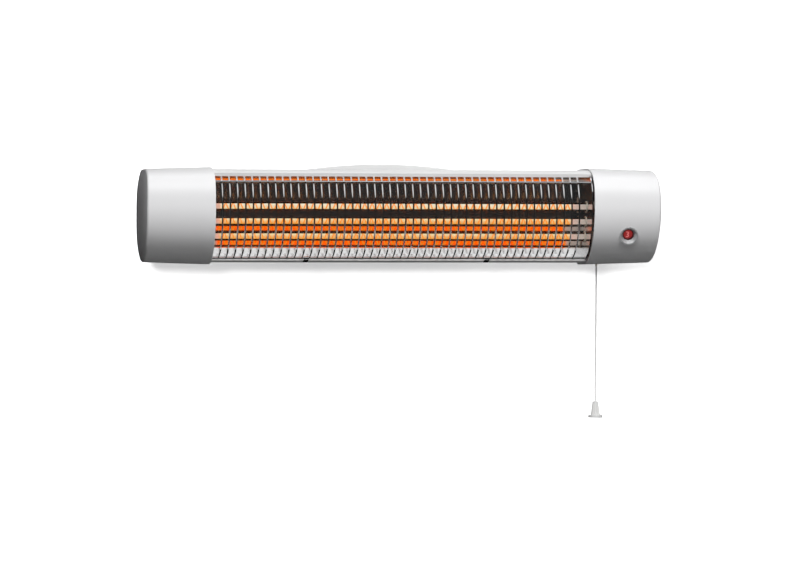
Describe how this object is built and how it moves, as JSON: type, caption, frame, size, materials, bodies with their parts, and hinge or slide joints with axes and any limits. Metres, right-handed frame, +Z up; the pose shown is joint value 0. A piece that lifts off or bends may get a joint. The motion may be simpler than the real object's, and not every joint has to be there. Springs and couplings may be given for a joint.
{
  "type": "quartz heater",
  "caption": "Wall-mounted quartz tube heater with a wire guard, curved reflector, end caps, tilting bracket and pull-cord stage switch.",
  "frame": {"origin": "on the wall plane, midway between the two wall screws", "axes": "+X along the heater to its switch end, +Y into the wall, +Z up"},
  "size_m": [0.626, 0.1855, 0.3075],
  "materials": {
    "coated_bracket": "satin powder coat on steel sheet",
    "coated_housing": "satin silver-white powder coat on steel sheet",
    "black_moulding": "matt black moulded plastic",
    "grey_moulding": "matt grey moulded plastic",
    "white_moulding": "satin white moulded plastic",
    "natural_moulding": "natural acetal, satin",
    "silver_moulding": "satin silver-white lacquer on moulded plastic",
    "zinc_steel": "zinc-plated steel",
    "spring_steel": "drawn spring wire",
    "bright_steel": "bright rolled steel sheet",
    "polished_aluminium": "mirror-rolled aluminium sheet",
    "chromed_wire": "bright chromed steel wire",
    "chromed_bezel": "bright chromed ring",
    "quartz": "clear quartz tube",
    "glowing_wire": "resistance wire, glowing orange",
    "steatite": "unglazed cream steatite",
    "nickel_brass": "nickel-plated and plain brass",
    "red_lens": "clear red moulded lens",
    "printed_dial": "white dial with printed stage numbers",
    "black_rubber": "moulded black rubber",
    "white_cord": "braided white cord",
    "blue_lead": "blue silicone-insulated wire",
    "red_lead": "red-brown silicone-insulated wire",
    "brown_lead": "brown silicone-insulated wire",
    "earth_lead": "green and yellow insulated wire"
  },
  "bodies": {
    "bracket": {"wall_bracket": "coated_bracket", "pivot_screws": "black_moulding", "pivot_nuts": "zinc_steel", "friction_washers": "black_rubber"},
    "heater": {"housing_shell": "coated_housing", "hinge_lugs": "coated_bracket", "lug_screws": "zinc_steel", "reflector": "polished_aluminium", "left_end_plate": "bright_steel", "right_end_plate": "bright_steel", "end_plate_screws": "zinc_steel", "grille_wires": "chromed_wire", "grille_rods": "chromed_wire", "grille_clips": "bright_steel", "upper_quartz_tube": "quartz", "middle_quartz_tube": "quartz", "lower_quartz_tube": "quartz", "upper_heating_coil": "glowing_wire", "middle_heating_coil": "glowing_wire", "lower_heating_coil": "glowing_wire", "left_ceramic_holders": "steatite", "right_ceramic_holders": "steatite", "tube_terminals": "nickel_brass", "left_end_cap": "silver_moulding", "right_end_cap": "silver_moulding", "cap_screws": "zinc_steel", "window_bezel": "chromed_bezel", "window_lens": "red_lens", "switch_base": "black_moulding", "switch_cover": "grey_moulding", "switch_screws": "zinc_steel", "switch_terminals": "nickel_brass", "switch_bracket": "zinc_steel", "bracket_screws": "zinc_steel", "lever_pin": "zinc_steel", "cord_guide": "white_moulding", "terminal_block": "white_moulding", "terminal_screws": "nickel_brass", "cable_grommet": "black_rubber", "cable_clamp": "white_moulding", "clamp_screws": "zinc_steel", "thermal_cutout": "black_moulding", "left_bus_bar": "nickel_brass", "return_lead": "blue_lead", "switch_leads": "red_lead", "supply_leads": "brown_lead", "earth_tag": "zinc_steel", "earth_lead": "earth_lead"},
    "pull": {"pull_rod": "natural_moulding", "return_spring": "spring_steel"},
    "lever": {"pull_lever": "natural_moulding"},
    "cord": {"pull_cord": "white_cord", "cord_knob": "white_moulding"},
    "dial": {"stage_dial": "printed_dial", "dial_shaft": "natural_moulding", "ratchet_wheel": "natural_moulding"}
  },
  "joints": [
    {"name": "tilt", "type": "hinge", "parent": "bracket", "child": "heater", "pos_m": [0, -0.045, 0], "axis": [1, 0, 0], "range_deg": [0, 40]},
    {"name": "pull", "type": "slide", "parent": "heater", "child": "pull", "axis": [0, 0, -1], "range_m": [0, 0.012], "stiffness_N_per_m": 400, "springref_m": -0.008, "deforming": ["return_spring"]},
    {"name": "lever_swing", "type": "hinge", "parent": "heater", "child": "lever", "pos_m": [0.2753, -0.118, 0], "axis": [0, -1, 0], "range_deg": [0, 24.1]},
    {"name": "stage_step", "type": "hinge", "parent": "heater", "child": "dial", "pos_m": [0.2753, -0.17055, -0.01217], "axis": [0, 0.9272, 0.3746], "range_deg": [0, 90]},
    {"name": "cord_hang", "type": "hinge", "parent": "pull", "child": "cord", "pos_m": [0.2467, -0.118, -0.05837], "axis": [1, 0, 0], "range_deg": [-40, 0]}
  ],
  "couplings": [
    {"joint": "lever_swing", "follows": "pull", "rad_per_m": 34.965},
    {"joint": "stage_step", "follows": "pull", "rad_per_m": 130.8},
    {"joint": "cord_hang", "follows": "tilt", "ratio": -1}
  ]
}
